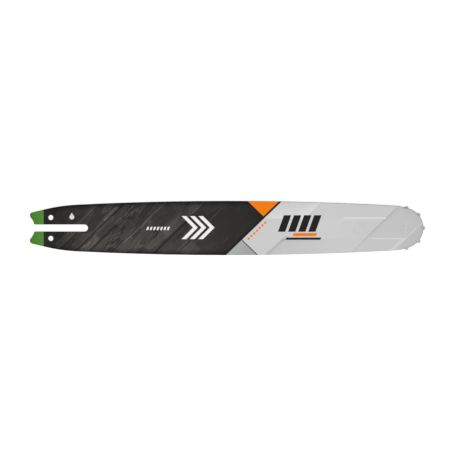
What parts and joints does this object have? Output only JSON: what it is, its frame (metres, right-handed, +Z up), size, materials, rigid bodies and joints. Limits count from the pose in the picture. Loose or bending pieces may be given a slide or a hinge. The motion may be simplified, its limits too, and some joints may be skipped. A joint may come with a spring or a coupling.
{
  "type": "chainsaw guide bar",
  "caption": "Flat laminated steel guide bar for a chainsaw: slotted tail with tensioner holes, crowned rails with a chain groove, and a toothed sprocket turning in the rounded nose.",
  "frame": {"origin": "midway between the two tensioner holes, on the middle line of the stud slot, in the face the bar lies on", "axes": "+X along the bar to the nose, +Y across the bar, +Z up through the plates to the face seen in the picture"},
  "size_m": [0.4545, 0.0624, 0.0041],
  "materials": {
    "printed_steel": "satin print on steel: green tail, charcoal field, orange wedge, pale grey fore end, bare rails",
    "core_steel": "rolled steel, lightly oiled",
    "hardened_steel": "ground and hardened steel",
    "bearing_steel": "polished bearing steel",
    "painted_rivets": "ground flush and printed over with the side plates"
  },
  "bodies": {
    "bar": {"side_plate_front": "printed_steel", "side_plate_back": "printed_steel", "core_plate": "core_steel", "bearing_hub": "bearing_steel", "bearing_cover_front": "bearing_steel", "bearing_cover_back": "bearing_steel", "nose_rivets": "painted_rivets"},
    "sprocket": {"nose_sprocket": "hardened_steel"},
    "roller_set": {"bearing_roller_01": "bearing_steel", "bearing_roller_02": "bearing_steel", "bearing_roller_03": "bearing_steel", "bearing_roller_04": "bearing_steel", "bearing_roller_05": "bearing_steel", "bearing_roller_06": "bearing_steel", "bearing_roller_07": "bearing_steel", "bearing_roller_08": "bearing_steel", "bearing_roller_09": "bearing_steel", "bearing_roller_10": "bearing_steel", "bearing_roller_11": "bearing_steel", "bearing_roller_12": "bearing_steel", "bearing_roller_13": "bearing_steel", "bearing_roller_14": "bearing_steel", "bearing_roller_15": "bearing_steel", "bearing_roller_16": "bearing_steel", "bearing_roller_17": "bearing_steel", "bearing_roller_18": "bearing_steel", "bearing_roller_19": "bearing_steel", "bearing_roller_20": "bearing_steel", "bearing_roller_21": "bearing_steel", "bearing_roller_22": "bearing_steel", "bearing_roller_23": "bearing_steel", "bearing_roller_24": "bearing_steel"}
  },
  "joints": [
    {"name": "nose_sprocket_spin", "type": "hinge", "parent": "bar", "child": "sprocket", "pos_m": [0.4047, 0, 0.00208], "axis": [0, 0, 1], "continuous": true},
    {"name": "roller_orbit", "type": "hinge", "parent": "bar", "child": "roller_set", "pos_m": [0.4047, 0, 0.00208], "axis": [0, 0, 1], "continuous": true}
  ],
  "couplings": [
    {"joint": "roller_orbit", "follows": "nose_sprocket_spin", "ratio": 0.56037}
  ]
}
